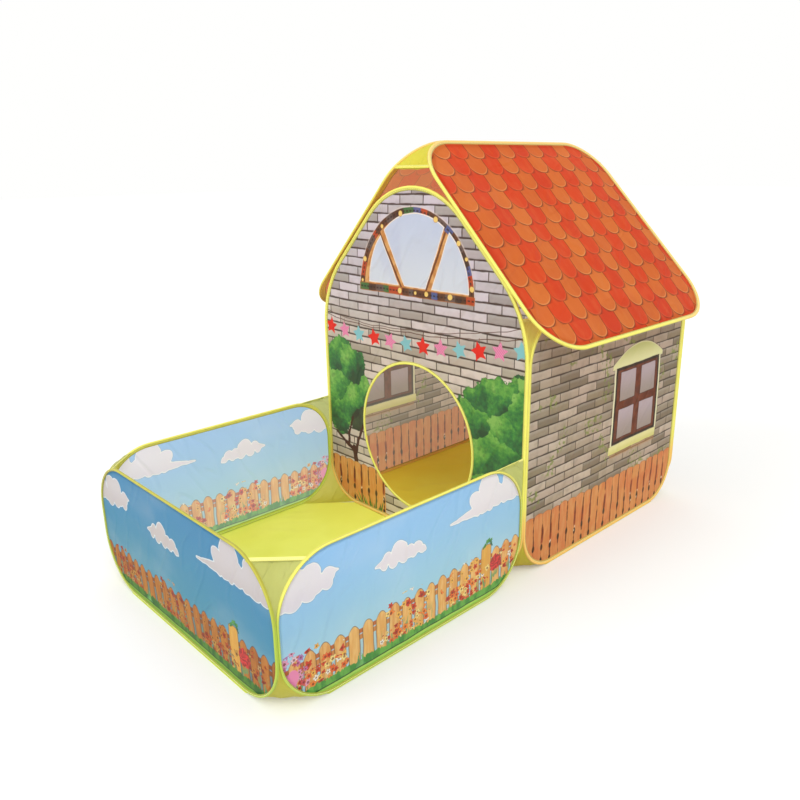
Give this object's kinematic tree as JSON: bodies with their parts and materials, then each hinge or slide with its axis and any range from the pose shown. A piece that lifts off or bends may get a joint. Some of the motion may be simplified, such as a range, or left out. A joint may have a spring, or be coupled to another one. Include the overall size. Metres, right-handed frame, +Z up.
{
  "type": "kids play tent",
  "caption": "Pop-up play tent: a gabled brick-print house with a round doorway and a tile-print roof, opening onto a low walled yard without a roof.",
  "frame": {"origin": "middle of the tent's footprint, on the ground", "axes": "+Z up; -Y out of the house door and along the yard; +X to the house's right as seen from the yard"},
  "size_m": [0.8602, 1.3832, 0.9896],
  "materials": {
    "brick_cloth": "printed polyester, brick pattern",
    "tile_cloth": "printed polyester, roof tile pattern",
    "sky_cloth": "printed polyester, sky and picket fence pattern",
    "yellow_binding": "woven binding tape, matt",
    "yellow_web": "plain polyester, matt",
    "lime_floor": "coated polyester, matt",
    "spring_steel": "tempered flat spring steel"
  },
  "bodies": {
    "tent_base": {"front_wall_cloth": "brick_cloth", "front_wall_binding": "yellow_binding", "front_wall_hoop": "spring_steel", "front_wall_ferrule": "spring_steel", "door_binding": "yellow_binding", "house_floor": "lime_floor", "yard_floor": "lime_floor", "web_foot_front_right": "yellow_web", "web_foot_front_left": "yellow_web", "web_eave_front_right": "yellow_web", "web_eave_front_left": "yellow_web", "web_join_foot_right": "yellow_web", "web_join_foot_left": "yellow_web", "web_join_top_right": "yellow_web", "web_join_top_left": "yellow_web"},
    "right_wall": {"right_wall_cloth": "brick_cloth", "right_wall_binding": "yellow_binding", "right_wall_hoop": "spring_steel", "right_wall_ferrule": "spring_steel"},
    "left_wall": {"left_wall_cloth": "brick_cloth", "left_wall_binding": "yellow_binding", "left_wall_hoop": "spring_steel", "left_wall_ferrule": "spring_steel"},
    "back_wall": {"back_wall_cloth": "brick_cloth", "back_wall_binding": "yellow_binding", "back_wall_hoop": "spring_steel", "back_wall_ferrule": "spring_steel", "web_foot_back_right": "yellow_web", "web_foot_back_left": "yellow_web", "web_eave_back_right": "yellow_web", "web_eave_back_left": "yellow_web"},
    "roof_right": {"roof_right_cloth": "tile_cloth", "roof_right_binding": "yellow_binding", "roof_right_hoop": "spring_steel", "roof_right_ferrule": "spring_steel", "web_ridge_front": "yellow_web"},
    "roof_left": {"roof_left_cloth": "tile_cloth", "roof_left_binding": "yellow_binding", "roof_left_hoop": "spring_steel", "roof_left_ferrule": "spring_steel", "web_ridge_back": "yellow_web"},
    "yard_right": {"yard_right_cloth": "sky_cloth", "yard_right_binding": "yellow_binding", "yard_right_hoop": "spring_steel", "yard_right_ferrule": "spring_steel"},
    "yard_left": {"yard_left_cloth": "sky_cloth", "yard_left_binding": "yellow_binding", "yard_left_hoop": "spring_steel", "yard_left_ferrule": "spring_steel"},
    "yard_front": {"yard_front_cloth": "sky_cloth", "yard_front_binding": "yellow_binding", "yard_front_hoop": "spring_steel", "yard_front_ferrule": "spring_steel", "web_yard_foot_right": "yellow_web", "web_yard_foot_left": "yellow_web", "web_yard_top_right": "yellow_web", "web_yard_top_left": "yellow_web"}
  },
  "joints": [
    {"name": "house_fold", "type": "hinge", "parent": "tent_base", "child": "right_wall", "pos_m": [0.3458, -0.0078, 0], "axis": [0, 0, 1], "range_deg": [0, 85], "deforming": ["web_foot_front_right", "web_eave_front_right"]},
    {"name": "left_wall_fold", "type": "hinge", "parent": "tent_base", "child": "left_wall", "pos_m": [-0.3536, -0.0156, 0], "axis": [0, 0, 1], "range_deg": [0, 85], "deforming": ["web_foot_front_left", "web_eave_front_left"]},
    {"name": "back_wall_fold", "type": "hinge", "parent": "right_wall", "child": "back_wall", "pos_m": [0.3536, 0.6916, 0], "axis": [0, 0, 1], "range_deg": [-85, 0], "deforming": ["web_foot_back_right", "web_foot_back_left", "web_eave_back_right", "web_eave_back_left"]},
    {"name": "roof_right_fold", "type": "hinge", "parent": "right_wall", "child": "roof_right", "pos_m": [0.3542, 0.335, 0.61944], "axis": [0, 1, 0], "range_deg": [0, 42.2], "deforming": ["web_ridge_front"]},
    {"name": "roof_left_fold", "type": "hinge", "parent": "left_wall", "child": "roof_left", "pos_m": [-0.3542, 0.335, 0.61944], "axis": [0, -1, 0], "range_deg": [0, 42.2], "deforming": ["web_ridge_back"]},
    {"name": "yard_fold", "type": "hinge", "parent": "tent_base", "child": "yard_right", "pos_m": [0.3536, -0.0084, 0], "axis": [0, 0, 1], "range_deg": [0, 85], "deforming": ["web_join_foot_right", "web_join_top_right"]},
    {"name": "yard_left_fold", "type": "hinge", "parent": "tent_base", "child": "yard_left", "pos_m": [-0.3458, -0.0162, 0], "axis": [0, 0, 1], "range_deg": [0, 85], "deforming": ["web_join_foot_left", "web_join_top_left"]},
    {"name": "yard_front_fold", "type": "hinge", "parent": "yard_right", "child": "yard_front", "pos_m": [0.3458, -0.6838, 0], "axis": [0, 0, 1], "range_deg": [-85, 0], "deforming": ["web_yard_foot_right", "web_yard_foot_left", "web_yard_top_right", "web_yard_top_left"]}
  ],
  "couplings": [
    {"joint": "left_wall_fold", "follows": "house_fold", "ratio": 1},
    {"joint": "back_wall_fold", "follows": "house_fold", "ratio": -1},
    {"joint": "roof_right_fold", "follows": "house_fold", "ratio": 0.4965},
    {"joint": "roof_left_fold", "follows": "house_fold", "ratio": 0.4965},
    {"joint": "yard_left_fold", "follows": "yard_fold", "ratio": 1},
    {"joint": "yard_front_fold", "follows": "yard_fold", "ratio": -1}
  ]
}
